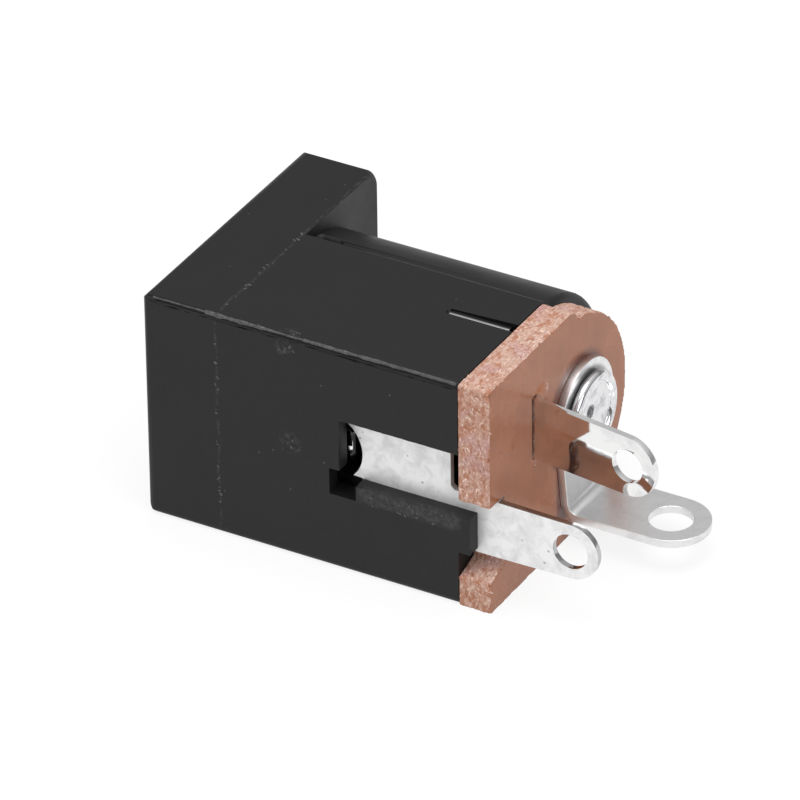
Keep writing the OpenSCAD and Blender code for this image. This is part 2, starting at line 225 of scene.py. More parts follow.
# Satin black moulding compound: eroded-mould grain, faint haze, dust and the marks of its mould
plasticFinish = {
    "black": (0.0068, 0.0068, 0.0070, 1),
    "haze": (0.0115, 0.0115, 0.0118, 1),
    "worn": (0.075, 0.075, 0.076, 1),
    "dust": (0.20, 0.20, 0.20, 1),
    "rubbedDark": (0.022, 0.022, 0.022, 1),
    "specular": 0.275,
    "rubbedSpecular": 0.5,
    "roughness": (0.40, 0.54),
    "rubbedRoughness": (0.32, 0.50),
    "grainPerMm": 9.0,
    "grainHeight": 0.006,   # mm
    "partingX": 3.02,       # mm, parting line round the flange's root
    "partingSway": 0.07,    # mm, how far it strays
    "partingWidth": 0.075,  # mm, half of its width
    "partingShare": 0.30,   # how worn it looks
    "bandLow": (8.6, -6.7, -1.42),   # mm, corners of the worn band under the window
    "bandHigh": (12.6, -6.4, -0.8),
    # Rough spots: place and reach, mm
    "spots": [((5.75, -6.5, 3.95), 0.42), ((5.85, -6.4, 4.5), 0.45), ((5.9, -6.5, 0.17), 0.55)],
}


def makePlastic(v):
    material, tree, shader = newMaterial("blackMoulding", Specular_IOR_Level=v["specular"])
    place = millimetres(tree)
    haze = noiseOf(tree, place, 0.55, 5, 0.6)
    speck = noiseOf(tree, place, 6.0, 2, 0.6)
    lightness = timesOf(tree, stepOf(tree, haze, 0.35, 0.75), stepOf(tree, speck, 0.3, 0.8))
    colour = blendOf(tree, lightness, v["black"], v["haze"])

    # Parting line round the flange's root, broken along its length
    crumbs = noiseOf(tree, place, 5.5, 3, 0.7)
    wander = noiseOf(tree, place, 0.8, 2, 0.5)
    axes = addNode(tree, "ShaderNodeSeparateXYZ", {0: place})
    sway = stepOf(tree, wander, 0.3, 0.7, -v["partingSway"], v["partingSway"])
    beside = mathOf(tree, "SUBTRACT", mathOf(tree, "ADD", axes.outputs[0], sway), v["partingX"])
    offset = mathOf(tree, "ABSOLUTE", beside)
    line = timesOf(tree, stepOf(tree, offset, v["partingWidth"], 0.01), stepOf(tree, crumbs, 0.42, 0.6))
    onSide = stepOf(tree, axes.outputs[2], halfWide - 0.10, halfWide - 0.01)
    onBase = stepOf(tree, axes.outputs[1], base + 0.08, base + 0.01)
    line = timesOf(tree, timesOf(tree, line, maxOf(tree, onSide, onBase)), v["partingShare"])

    # Worn band under the window, and the rough spots
    band = insideBox(tree, place, v["bandLow"], v["bandHigh"], 0.12)
    band = timesOf(tree, band, stepOf(tree, crumbs, 0.40, 0.62, 0.12, 0.55))
    marks = maxOf(tree, line, band)
    for point, reach in v["spots"]:
        broken = stepOf(tree, crumbs, 0.46, 0.64, 0.0, 0.5)
        marks = maxOf(tree, marks, timesOf(tree, nearPoint(tree, place, point, reach), broken))
    colour = blendOf(tree, marks, colour, v["worn"])

    # A few grains of dust
    cells = addNode(tree, "ShaderNodeTexVoronoi", {"Vector": place, "Scale": 1.5, "Randomness": 1.0})
    few = addNode(tree, "ShaderNodeSeparateColor", {0: cells.outputs["Color"]})
    dust = timesOf(tree, stepOf(tree, cells.outputs["Distance"], 0.055, 0.02),
                   stepOf(tree, few.outputs[0], 0.72, 0.74, 0.0, 0.5))
    colour = blendOf(tree, dust, colour, v["dust"])
    tree.links.new(colour, shader.inputs["Base Color"])

    low, high = v["roughness"]
    rough = stepOf(tree, haze, 0.3, 0.7, low, high)
    tree.links.new(mathOf(tree, "ADD", rough, timesOf(tree, marks, 0.2)), shader.inputs["Roughness"])
    grain = noiseOf(tree, place, v["grainPerMm"], 3, 0.6)
    fine = bumpOf(tree, grain, 0.35, v["grainHeight"] * mm)
    swell = bumpOf(tree, haze, 0.2, 0.02 * mm, fine)
    relief = bumpOf(tree, timesOf(tree, marks, crumbs), 0.8, 0.09 * mm, swell)
    tree.links.new(relief, shader.inputs["Normal"])
    return material


# Flash and rubbed edges of the same compound
def makeWornPlastic(v):
    material, tree, shader = newMaterial("rubbedMoulding", Specular_IOR_Level=v["rubbedSpecular"])
    crumbs = noiseOf(tree, millimetres(tree), 7.0, 3, 0.7)
    tree.links.new(blendOf(tree, stepOf(tree, crumbs, 0.35, 0.7), v["rubbedDark"], v["worn"]),
                   shader.inputs["Base Color"])
    low, high = v["rubbedRoughness"]
    tree.links.new(stepOf(tree, crumbs, 0.3, 0.7, low, high), shader.inputs["Roughness"])
    tree.links.new(bumpOf(tree, crumbs, 0.5, 0.02 * mm), shader.inputs["Normal"])
    return material


# Paper laminate: a smooth resin face, and a torn fibrous edge where the die cut it
boardFinish = {
    "face": (0.250, 0.082, 0.031, 1),
    "faceLight": (0.325, 0.115, 0.050, 1),
    "faceShade": (0.105, 0.022, 0.008, 1),
    "edge": (0.37, 0.158, 0.092, 1),
    "edgePale": (0.53, 0.355, 0.29, 1),
    "edgeLilac": (0.43, 0.25, 0.235, 1),
    "edgeDark": (0.19, 0.062, 0.036, 1),
    "edgeBright": (0.80, 0.66, 0.58, 1),
    "faceSpecular": 0.37,
    "faceRoughness": (0.20, 0.30),
    "edgeSpecular": 0.3,
    "edgeRoughness": (0.85, 0.55),
    "fibreRoughness": 0.7,
    "lift": ((13.8, -2.75, 2.45), 0.5),         # mm, place and reach of the pale patch above the slot
    "ringShadow": ((13.8, -0.22, 0.34), 2.35),   # mm, place and reach of the painted contact shadow round the ring
    "stripShadowLow": (13.7, -1.72, -3.6),            # mm, corners of the painted shadow beside the strip
    "stripShadowHigh": (13.9, 1.4, -0.6),
    # share of the dark colour in the painted shadows
    "shadowShare": 0.95,
}


def makeBoardFace(v):
    material, tree, shader = newMaterial("laminateFace", Specular_IOR_Level=v["faceSpecular"])
    place = millimetres(tree)
    cloud = noiseOf(tree, place, 0.45, 4, 0.6)
    fibre = noiseOf(tree, millimetres(tree, (1, 3, 0.7)), 2.5, 4, 0.65)
    mixed = mathOf(tree, "ADD", timesOf(tree, cloud, 0.65), timesOf(tree, fibre, 0.35))
    colour = blendOf(tree, stepOf(tree, mixed, 0.38, 0.66), v["face"], v["faceLight"])
    # Paler where the punch lifted the face above the slot
    lift = nearPoint(tree, place, v["lift"][0], v["lift"][1], 0.5)
    colour = blendOf(tree, timesOf(tree, lift, 0.35), colour, v["edge"])
    # Painted shadow round the ring and beside the strip, dark board colour standing in for shade
    ringShadow = nearPoint(tree, place, v["ringShadow"][0], v["ringShadow"][1], 0.88)
    stripShadow = insideBox(tree, place, v["stripShadowLow"], v["stripShadowHigh"], 0.07)
    paintedShadow = maxOf(tree, ringShadow, stripShadow)
    colour = blendOf(tree, timesOf(tree, paintedShadow, v["shadowShare"]), colour, v["faceShade"])
    tree.links.new(colour, shader.inputs["Base Color"])
    low, high = v["faceRoughness"]
    tree.links.new(stepOf(tree, cloud, 0.3, 0.7, low, high), shader.inputs["Roughness"])
    ripple = noiseOf(tree, place, 1.6, 3, 0.55)
    tree.links.new(bumpOf(tree, ripple, 0.25, 0.008 * mm), shader.inputs["Normal"])
    return material


def makeBoardEdge(v):
    material, tree, shader = newMaterial("laminateEdge", Specular_IOR_Level=v["edgeSpecular"])
    place = millimetres(tree)
    layers = millimetres(tree, (1.8, 1, 1))
    patch = noiseOf(tree, layers, 2.6, 4, 0.65, 0.3)
    grit = noiseOf(tree, layers, 6.0, 4, 0.78, 0.4)
    lilac = noiseOf(tree, place, 1.3, 2, 0.5)
    # The diagonal's cut is paler than the straight side's
    facing = addNode(tree, "ShaderNodeNewGeometry").outputs["Normal"]
    up = addNode(tree, "ShaderNodeSeparateXYZ", {0: facing}).outputs[2]
    patch = mathOf(tree, "ADD", patch, stepOf(tree, up, 0.2, 0.9, 0.0, 0.05))
    warm = blendOf(tree, stepOf(tree, patch, 0.40, 0.66), v["edge"], v["edgePale"])
    cool = blendOf(tree, stepOf(tree, lilac, 0.54, 0.68, 0, 0.7), warm, v["edgeLilac"])
    dark = blendOf(tree, stepOf(tree, grit, 0.45, 0.34, 0, 0.9), cool, v["edgeDark"])
    light = blendOf(tree, stepOf(tree, grit, 0.56, 0.66, 0, 0.75), dark, v["edgeBright"])
    tree.links.new(light, shader.inputs["Base Color"])
    low, high = v["edgeRoughness"]
    tree.links.new(stepOf(tree, grit, 0.3, 0.7, low, high), shader.inputs["Roughness"])
    tree.links.new(bumpOf(tree, grit, 0.7, 0.05 * mm), shader.inputs["Normal"])
    return material


# Loose fibres along the cut
def makeFibre(v):
    material, tree, shader = newMaterial("laminateFibre", Specular_IOR_Level=v["edgeSpecular"],
                                         Roughness=v["fibreRoughness"])
    tone = noiseOf(tree, millimetres(tree), 3.5, 2, 0.6)
    tree.links.new(blendOf(tree, stepOf(tree, tone, 0.35, 0.65), v["edge"], v["edgeBright"]),
                   shader.inputs["Base Color"])
    return material


# Tin plate of several kinds: satin on the spring, mirror-bright on the switch lug, flowed on the terminal.
# shade is painted shade, black between two corners; the painted shadow under the rolled head has a place and
# reach, all in mm
tinFinish = {
    "sleeve": {"bright": (0.78, 0.78, 0.78, 1), "dull": (0.63, 0.63, 0.635, 1), "metallic": 0.30,
               "roughness": (0.32, 0.46), "blotch": 1.9, "pits": 0.75, "wave": 0.008,
               # painted shade over the sheet in the dark front of the window
               "shade": ((6.5, -6.2, -2.2), (8.72, -4.6, -0.90))},
    "rim": {"bright": (0.52, 0.52, 0.52, 1), "dull": (0.36, 0.36, 0.37, 1), "metallic": 1.0,
            "roughness": (0.10, 0.18), "blotch": 2.5, "pits": 0.0, "wave": 0.010},
    "switch": {"bright": (0.86, 0.86, 0.855, 1), "dull": (0.74, 0.74, 0.74, 1), "metallic": 1.0,
               "roughness": (0.04, 0.08), "blotch": 1.3, "pits": 0.0, "wave": 0.004,
               # painted shade over the far half of the strip in the slit
               "shade": ((7.0, -2.50, 4.0), (12.6, -2.1, 4.6))},
    "terminal": {"bright": (0.82, 0.82, 0.82, 1), "dull": (0.70, 0.70, 0.705, 1), "metallic": 1.0,
                 "roughness": (0.30, 0.40), "blotch": 1.2, "pits": 0.35, "wave": 0.010,
                 # painted shadow round the foot of the rolled head
                 "headShadowPlace": ((14.1, -0.09, 0.24), 1.84)},
    "pin": {"bright": (0.76, 0.76, 0.77, 1), "dull": (0.48, 0.48, 0.51, 1), "metallic": 1.0,
            "roughness": (0.06, 0.16), "blotch": 2.2, "pits": 0.0, "wave": 0.022},
}

# What lies on the tin: pits, and the dark colours of the painted shade and of the painted shadow under the
# rolled head
tinDirtAndShade = {
    "pit": (0.20, 0.20, 0.21, 1),
    "paintedShade": (0.012, 0.012, 0.012, 1),
    "headShadowColour": (0.05, 0.05, 0.052, 1),
    "headShadowShare": 0.62,
    "specular": 0.6,
}


def makeTin(name, v, dirtAndShade):
    material, tree, shader = newMaterial(name, Metallic=v["metallic"], Specular_IOR_Level=dirtAndShade["specular"])
    place = millimetres(tree)
    blotch = noiseOf(tree, place, v["blotch"], 4, 0.62, 0.5)
    colour = blendOf(tree, stepOf(tree, blotch, 0.44, 0.66), v["bright"], v["dull"])
    cells = addNode(tree, "ShaderNodeTexVoronoi", {"Vector": place, "Scale": 1.9, "Randomness": 1.0})
    few = addNode(tree, "ShaderNodeSeparateColor", {0: cells.outputs["Color"]})
    pits = timesOf(tree, stepOf(tree, cells.outputs["Distance"], 0.12, 0.05),
                   stepOf(tree, few.outputs[1], 0.55, 0.60, 0.0, v["pits"]))
    colour = blendOf(tree, pits, colour, dirtAndShade["pit"])
    if "shade" in v:  # painted shade: black where the sheet lies deep in the dark window or slit
        paintedShade = insideBox(tree, place, v["shade"][0], v["shade"][1], 0.06)
        colour = blendOf(tree, paintedShade, colour, dirtAndShade["paintedShade"])
    if "headShadowPlace" in v:  # painted shadow under the rolled head
        paintedShade = nearPoint(tree, place, v["headShadowPlace"][0], v["headShadowPlace"][1], 0.92)
        colour = blendOf(tree, timesOf(tree, paintedShade, dirtAndShade["headShadowShare"]), colour, dirtAndShade["headShadowColour"])
    tree.links.new(colour, shader.inputs["Base Color"])
    low, high = v["roughness"]
    tree.links.new(stepOf(tree, blotch, 0.38, 0.7, low, high), shader.inputs["Roughness"])
    lines = noiseOf(tree, millimetres(tree, (0.25, 6, 6)), 3.0, 3, 0.6)
    wave = bumpOf(tree, noiseOf(tree, place, 1.1, 3, 0.5), 0.6, v["wave"] * mm)
    drawn = bumpOf(tree, lines, 0.12, 0.002 * mm, wave)
    tree.links.new(bumpOf(tree, mathOf(tree, "SUBTRACT", 1.0, pits), 0.4, 0.01 * mm, drawn),
                   shader.inputs["Normal"])
    return material


plastic = makePlastic(plasticFinish)
wornPlastic = makeWornPlastic(plasticFinish)
boardFace = makeBoardFace(boardFinish)
boardEdge = makeBoardEdge(boardFinish)
boardFibre = makeFibre(boardFinish)
sleeveTin = makeTin("satinTin", tinFinish["sleeve"], tinDirtAndShade)
rimTin = makeTin("rolledTin", tinFinish["rim"], tinDirtAndShade)
switchTin = makeTin("brightTin", tinFinish["switch"], tinDirtAndShade)
terminalTin = makeTin("flowedTin", tinFinish["terminal"], tinDirtAndShade)
pinPlate = makeTin("turnedPlate", tinFinish["pin"], tinDirtAndShade)
print("materials made")


# A copy of a CAD solid with its loose triangles merged and its flat faces whole again
def solidCopy(node, name):
    mesh = nodes[node].data.copy()
    mesh.name = name
    mesh.materials.clear()
    work = bmesh.new()
    work.from_mesh(mesh)
    for layer in list(work.loops.layers.uv.values()):
        work.loops.layers.uv.remove(layer)
    bmesh.ops.remove_doubles(work, verts=work.verts, dist=0.0005 * mm)
    bmesh.ops.dissolve_degenerate(work, edges=work.edges, dist=0.0002 * mm)
    bmesh.ops.dissolve_limit(work, angle_limit=math.radians(0.5), verts=work.verts, edges=work.edges)
    bmesh.ops.recalc_face_normals(work, faces=work.faces)
    work.to_mesh(mesh)
    work.free()
    return newObject(name, mesh)


# Rounds every edge that turns by more than the given angle
def roundEdges(piece, radius, segments, sharp=30):
    work = bmesh.new()
    work.from_mesh(piece.data)
    picked = [edge for edge in work.edges
              if len(edge.link_faces) == 2 and edge.calc_face_angle(0) > math.radians(sharp)]
    bevelEdges(work, picked, radius, segments)
    work.to_mesh(piece.data)
    work.free()


def shadeSmooth(piece, angle=32):
    for polygon in piece.data.polygons:
        polygon.use_smooth = True
    piece.data.set_sharp_from_angle(angle=math.radians(angle))
    weighted = piece.modifiers.new("weighted", "WEIGHTED_NORMAL")
    weighted.keep_sharp = True
    weighted.weight = 100


# Applies the modifiers and puts the piece in place of its CAD node
def finishPiece(piece, node):
    mesh = evaluatedMesh(piece)
    piece.modifiers.clear()
    piece.data = mesh
    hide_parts(node)
    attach(piece, "root")
    return piece


# Geometry Nodes trees: their inputs are set by identifier before the object is first evaluated
def newTree(name, sockets):
    tree = bpy.data.node_groups.new(name, "GeometryNodeTree")
    tree.interface.new_socket("Geometry", in_out="INPUT", socket_type="NodeSocketGeometry")
    for label, kind, value in sockets:
        socket = tree.interface.new_socket(label, in_out="INPUT", socket_type=kind)
        socket.default_value = value
    tree.interface.new_socket("Geometry", in_out="OUTPUT", socket_type="NodeSocketGeometry")
    return tree, tree.nodes.new("NodeGroupInput"), tree.nodes.new("NodeGroupOutput")


# Crumbs strewn over the faces they are given, lying flat against them
def makeCrumbTree(name, material):
    tree, given, result = newTree(name, [("Per Square Metre", "NodeSocketFloat", 1e7),
                                         ("Smallest", "NodeSocketFloat", 0.00002),
                                         ("Largest", "NodeSocketFloat", 0.00006),
                                         ("Longer", "NodeSocketFloat", 1.6),
                                         ("Seed", "NodeSocketInt", 1)])
    spread = addNode(tree, "GeometryNodeDistributePointsOnFaces",
                     {"Mesh": given.outputs["Geometry"], "Density": given.outputs["Per Square Metre"],
                      "Seed": given.outputs["Seed"]})
    ball = addNode(tree, "GeometryNodeMeshIcoSphere", {"Radius": 1.0, "Subdivisions": 2})
    rough = addNode(tree, "ShaderNodeTexNoise", {"Scale": 1.4, "Detail": 2.0})
    shift = addNode(tree, "ShaderNodeVectorMath", {0: rough.outputs["Color"], 1: (0.5, 0.5, 0.5)},
                    operation="SUBTRACT")
    lumpy = addNode(tree, "GeometryNodeSetPosition", {"Geometry": ball.outputs["Mesh"],
                                                      "Offset": shift.outputs["Vector"]})
    size = addNode(tree, "FunctionNodeRandomValue",
                   {2: given.outputs["Smallest"], 3: given.outputs["Largest"],
                    "Seed": given.outputs["Seed"]}, data_type="FLOAT")
    longer = timesOf(tree, size.outputs[1], given.outputs["Longer"])
    flat = timesOf(tree, size.outputs[1], 0.45)
    scale = addNode(tree, "ShaderNodeCombineXYZ", {0: longer, 1: size.outputs[1], 2: flat})
    turn = addNode(tree, "FunctionNodeRandomValue", {2: 0.0, 3: 6.28, "Seed": given.outputs["Seed"]},
                   data_type="FLOAT")
    spin = addNode(tree, "ShaderNodeCombineXYZ", {2: turn.outputs[1]})
    rotated = addNode(tree, "FunctionNodeRotateRotation",
                      {0: spread.outputs["Rotation"], 1: spin.outputs[0]}, rotation_space="LOCAL")
    placed = addNode(tree, "GeometryNodeInstanceOnPoints",
                     {"Points": spread.outputs["Points"], "Instance": lumpy.outputs["Geometry"],
                      "Rotation": rotated.outputs[0], "Scale": scale.outputs[0]})
    real = addNode(tree, "GeometryNodeRealizeInstances", {0: placed.outputs[0]})
    smooth = addNode(tree, "GeometryNodeSetShadeSmooth", {0: real.outputs[0]})
    painted = addNode(tree, "GeometryNodeSetMaterial", {"Geometry": smooth.outputs[0], "Material": material})
    tree.links.new(painted.outputs[0], result.inputs[0])
    return tree


# A bead that follows a line, thicker and thinner along its way
def makeBeadTree(name, material):
    tree, given, result = newTree(name, [("Thickness", "NodeSocketFloat", 0.00008),
                                         ("Unevenness", "NodeSocketFloat", 0.6),
                                         ("Step", "NodeSocketFloat", 0.00008),
                                         ("Wander", "NodeSocketFloat", 0.00002),
                                         ("Seed", "NodeSocketFloat", 1.0)])
    even = addNode(tree, "GeometryNodeResampleCurve", {"Curve": given.outputs["Geometry"],
                                                      "Length": given.outputs["Step"]}, mode="LENGTH")
    where = addNode(tree, "GeometryNodeInputPosition")
    coarse = addNode(tree, "ShaderNodeTexNoise", {"Vector": where.outputs[0], "W": given.outputs["Seed"],
                                                 "Scale": 2200.0, "Detail": 3.0, "Roughness": 0.7},
                     noise_dimensions="4D")
    swing = stepOf(tree, coarse.outputs["Fac"], 0.3, 0.7, -1.0, 1.0)
    uneven = timesOf(tree, swing, given.outputs["Unevenness"])
    thick = mathOf(tree, "ADD", uneven, 1.0)
    middle = addNode(tree, "ShaderNodeVectorMath", {0: coarse.outputs["Color"], 1: (0.5, 0.5, 0.5)},
                     operation="SUBTRACT")
    wander = addNode(tree, "ShaderNodeVectorMath", {0: middle.outputs[0], "Scale": given.outputs["Wander"]},
                     operation="SCALE")
    moved = addNode(tree, "GeometryNodeSetPosition", {"Geometry": even.outputs[0],
                                                      "Offset": wander.outputs[0]})
    half = timesOf(tree, given.outputs["Thickness"], 0.5)
    ring = addNode(tree, "GeometryNodeCurvePrimitiveCircle", {"Resolution": 8, "Radius": half})
    tube = addNode(tree, "GeometryNodeCurveToMesh",
                   {"Curve": moved.outputs[0], "Profile Curve": ring.outputs[0], "Scale": thick,
                    "Fill Caps": True})
    smooth = addNode(tree, "GeometryNodeSetShadeSmooth", {0: tube.outputs[0]})
    real = addNode(tree, "GeometryNodeRealizeInstances", {0: smooth.outputs[0]})
    painted = addNode(tree, "GeometryNodeSetMaterial", {"Geometry": real.outputs[0], "Material": material})
    tree.links.new(painted.outputs[0], result.inputs[0])
    return tree


# Runs a tree on an object and returns the plain mesh that it makes
def runTree(source, tree, values):
    modifier = source.modifiers.new("grown", "NODES")
    modifier.node_group = tree
    identifiers = {item.name: item.identifier for item in tree.interface.items_tree
                   if item.item_type == "SOCKET" and item.in_out == "INPUT"}
    for label, value in values.items():
        modifier[identifiers[label]] = value
    mesh = evaluatedMesh(source)
    bpy.data.objects.remove(source)
    return mesh


def lineObject(points):
    curve = bpy.data.curves.new("line", "CURVE")
    curve.dimensions = "3D"
    spline = curve.splines.new("POLY")
    spline.points.add(len(points) - 1)
    for target, point in zip(spline.points, points):
        target.co = (point[0] * mm, point[1] * mm, point[2] * mm, 1)
    return newObject("line", curve)


# A four-cornered patch that crumbs are strewn on
def patchObject(corners):
    mesh = bpy.data.meshes.new("patch")
    mesh.from_pydata([tuple(value * mm for value in corner) for corner in corners], [], [(0, 1, 2, 3)])
    return newObject("patch", mesh)


# Adds loose meshes to a piece as part of the same object
def joinMeshes(piece, meshes):
    work = bmesh.new()
    work.from_mesh(piece.data)
    for mesh in meshes:
        slots = []
        for material in mesh.materials:
            if material and material.name not in piece.data.materials:
                piece.data.materials.append(material)
            slots.append(list(piece.data.materials).index(material) if material else 0)
        first = len(work.faces)
        work.from_mesh(mesh)
        work.faces.ensure_lookup_table()
        for face in work.faces[first:]:
            face.material_index = slots[face.material_index] if slots else 0
    work.to_mesh(piece.data)
    work.free()


# Rubs an edge between two points: a bevel whose width changes along its length
def rubEdge(work, start, end, radius, unevenness, seed):
    start, end = Vector(start) * mm, Vector(end) * mm
    cutEvery, beside, keptAtEnds = 0.12 * mm, 0.004 * mm, 0.15 * mm
    pastEnds = 0.01 * mm
    along = (end - start).normalized()
    length = (end - start).length

    def off(point):
        reach = (point - start).dot(along)
        return (point - start - along * reach).length, reach

    def onLine(edge):
        for vert in edge.verts:
            distance, reach = off(vert.co)
            if distance > beside or reach < -pastEnds or reach > length + pastEnds:
                return False
        return True

    picked = [edge for edge in work.edges if len(edge.link_faces) == 2 and onLine(edge)]
    if not picked:
        print("no edge from", start, "to", end)
        return
    for edge in picked:
        cuts = int(edge.calc_length() / cutEvery)
        if cuts:
            bmesh.ops.subdivide_edges(work, edges=[edge], cuts=cuts)
    picked = [edge for edge in work.edges if len(edge.link_faces) == 2 and onLine(edge)]
    for vert in bevelEdges(work, picked, radius)["verts"]:
        distance, reach = off(vert.co)
        if reach < keptAtEnds or reach > length - keptAtEnds:
            continue
        foot = start + along * reach
        wave = noise.noise(Vector((reach / mm * 3.1 + seed, seed, 0))) + 0.6 * noise.noise(
            Vector((reach / mm * 8.3, seed, 1)))
        vert.co = foot + (vert.co - foot) * (1 + unevenness * wave)


# Prism along Y whose corners in X and Z are rounded
def roundedPrism(corners, start, end, steps=8):
    outline = []
    for index, (x, z, radius) in enumerate(corners):
        before = Vector(corners[index - 1][:2])
        after = Vector(corners[(index + 1) % len(corners)][:2])
        here = Vector((x, z))
        toBefore, toAfter = (before - here).normalized(), (after - here).normalized()
        middle = here + (toBefore + toAfter) * radius
        if not radius:
            outline.append(here)
            continue
        for step in range(steps + 1):
            turn = math.radians(90 * step / steps)
            outline.append(middle - toAfter * radius * math.cos(turn) - toBefore * radius * math.sin(turn))
    count = len(outline)
    points = [Vector((x, y, z)) * mm for y in (start, end) for x, z in outline]
    faces = [tuple(range(count)), tuple(range(2 * count - 1, count - 1, -1))]
    faces += [(i, i + count, (i + 1) % count + count, (i + 1) % count) for i in range(count)]
    return newObject("prism", closedMesh("prism", points, faces))


def carve(piece, tool, operation):
    cut = piece.modifiers.new("cut", "BOOLEAN")
    cut.object = tool
    cut.solver = "EXACT"
    cut.operation = operation
    mesh = evaluatedMesh(piece)
    piece.modifiers.clear()
    piece.data = mesh
    bpy.data.objects.remove(tool)


# Tool that rounds one end of the flange's rear edge, more and more towards the corner
def cornerTool(rearX, farY, topZ, reach, radius, steps=8):
    side = 1 if topZ > 0 else -1
    outside, least = 0.3, 0.02  # mm, the tool's reach past the faces, and its smallest radius
    rows = []
    for step in range(steps + 1):
        y = farY - reach + (reach + least) * step / steps
        bend = least + radius * (step / steps) ** 1.5
        row = [(rearX + outside, topZ + outside * side), (rearX - bend, topZ + outside * side)]
        for turn in range(steps + 1):
            angle = math.radians(90 * turn / steps)
            row.append((rearX - bend + bend * math.sin(angle), topZ - side * bend * (1 - math.cos(angle))))
        row.append((rearX + outside, topZ - side * bend))
        rows.append([Vector((x, y, z)) * mm for x, z in row])
    count = len(rows[0])
    points = [point for row in rows for point in row]
    faces = [tuple(range(count)), tuple(range(steps * count, (steps + 1) * count))]
    for row in range(steps):
        here, after = row * count, (row + 1) * count
        for i in range(count):
            j = (i + 1) % count
            faces.append((here + i, here + j, after + j, after + i))
    return newObject("corner", closedMesh("corner", points, faces))


# The flange's corners are rounder than its edges
def trimCorners(housing, v):
    front, foot, past, wide = v["frontCorner"], v["lowCorner"], v["toolLong"], v["toolWide"]
    profile = [(0, -halfWide, foot), (past, -halfWide, 0), (past, halfWide, 0), (0, halfWide, front)]
    carve(housing, roundedPrism(profile, -wide, wide), "INTERSECT")
    for side in (halfWide, -halfWide):
        tool = cornerTool(v["flangeRear"], housingHigh.y / mm, side, v["farReach"], v["farCorner"])
        carve(housing, tool, "DIFFERENCE")


# All in mm, apart from counts and shares
housingLook = {
    "flangeRear": 3.1,
    "frontCorner": 0.42,      # radii that trim the corners
    "lowCorner": 0.62,
    "farCorner": 0.62,
    "farReach": 0.9,          # along the rear edge from its far corner
    "toolLong": 30,           # the trimming tool ends well past the moulding
    "toolWide": 20,
    "mouthRadius": 3.4,
    "mouthRim": 0.08,         # radius round the mouth's rim
    # Rubbed edges: from, to, radius, unevenness, seed
    "rubbedEdges": [
        ((3.1, -0.2, 4.5), (3.1, 4.41, 4.5), 0.17, 1.5, 3),
        ((3.1, 4.66, -4.25), (3.1, 4.66, 4.25), 0.05, 0.5, 5),
        ((7.85, -6.5, 1.62), (12.55, -6.5, 1.62), 0.03, 0.7, 7),
        ((8.5, -6.5, -0.88), (13.0, -6.5, -0.88), 0.05, 0.8, 9),
    ],
    # Ridge of flash along the edge between top and base: from, to, share of its thickness
    "ridgeRuns": [(0.5, 2.7, 0.55), (2.6, 3.3, 1.5), (3.1, 5.35, 1.25), (5.2, 6.6, 0.7), (6.5, 12.5, 1.1)],
    "ridgeRise": 0.05,        # its middle above the base and in from the side
    "ridgeInset": 0.035,
    "ridgeThick": 0.10,
    "ridgeUneven": 0.5,
    "ridgeWander": 0.05,
    "grooveRun": (0.6, 12.6),
    "grooveBelow": (0.17, 0.20),  # under the top at its two ends
    "grooveThick": 0.15,
    "grooveUneven": 0.35,
    "grooveWander": 0.03,
    # Crumbs of flash, strewn in this order: the face, x from and to, then y above the base or z from and
    # to, how many on 1 mm2, smallest, largest
    "crumbs": [
        ("side", 2.93, 3.08, 0.1, 6.1, 16, 0.02, 0.065),
        ("base", 2.93, 3.08, -4.1, 4.1, 13, 0.018, 0.05),
        ("base", 5.5, 6.15, 3.75, 4.1, 22, 0.02, 0.06),
        ("side", 5.55, 6.3, 0.05, 0.35, 16, 0.02, 0.05),
        ("base", 5.6, 6.35, -0.1, 0.35, 14, 0.02, 0.05),
        ("base", 8.9, 12.5, -1.47, -1.38, 22, 0.02, 0.06),
        ("base", 8.7, 12.5, -1.38, -0.95, 5, 0.015, 0.04),
    ],
}


# Ridge of flash where the two mould halves met, in overlapping runs of different thickness
def makeRidge(v, beadTree):
    runs = []
    for first, last, share in v["ridgeRuns"]:
        y, z = base + v["ridgeRise"], halfWide - v["ridgeInset"]
        runs.append(runTree(lineObject([(first, y, z), (last, y, z)]), beadTree,
                            {"Thickness": v["ridgeThick"] * share * mm, "Unevenness": v["ridgeUneven"],
                             "Step": 0.07 * mm, "Wander": v["ridgeWander"] * mm, "Seed": first}))
    return runs


# Crumbs of flash along the parting line, round the rough spots and on the worn band
def strewCrumbs(v, crumbTree):
    strewn = []
    for seed, (face, left, right, first, last, perMm, smallest, largest) in enumerate(v["crumbs"]):
        corners = []
        for x, across in ((left, first), (right, first), (right, last), (left, last)):
            corners.append((x, base + across, halfWide) if face == "side" else (x, base, across))
        strewn.append(runTree(patchObject(corners), crumbTree,
                              {"Per Square Metre": perMm / mm / mm, "Smallest": smallest * mm,
                               "Largest": largest * mm, "Seed": seed + 1}))
    return strewn


# Dark hairline under the ridge
def cutGroove(housing, v, beadTree):
    (first, last), (under, underLast) = v["grooveRun"], v["grooveBelow"]
    line = lineObject([(first, base, halfWide - under), (last, base, halfWide - underLast)])
    bead = runTree(line, beadTree, {"Thickness": v["grooveThick"] * mm, "Unevenness": v["grooveUneven"],
                                    "Step": 0.15 * mm, "Wander": v["grooveWander"] * mm, "Seed": 4.0})
    carve(housing, newObject("cutter", bead), "DIFFERENCE")
    for polygon in housing.data.polygons:
        polygon.material_index = 0
    housing.data.materials.clear()
    housing.data.materials.append(plastic)


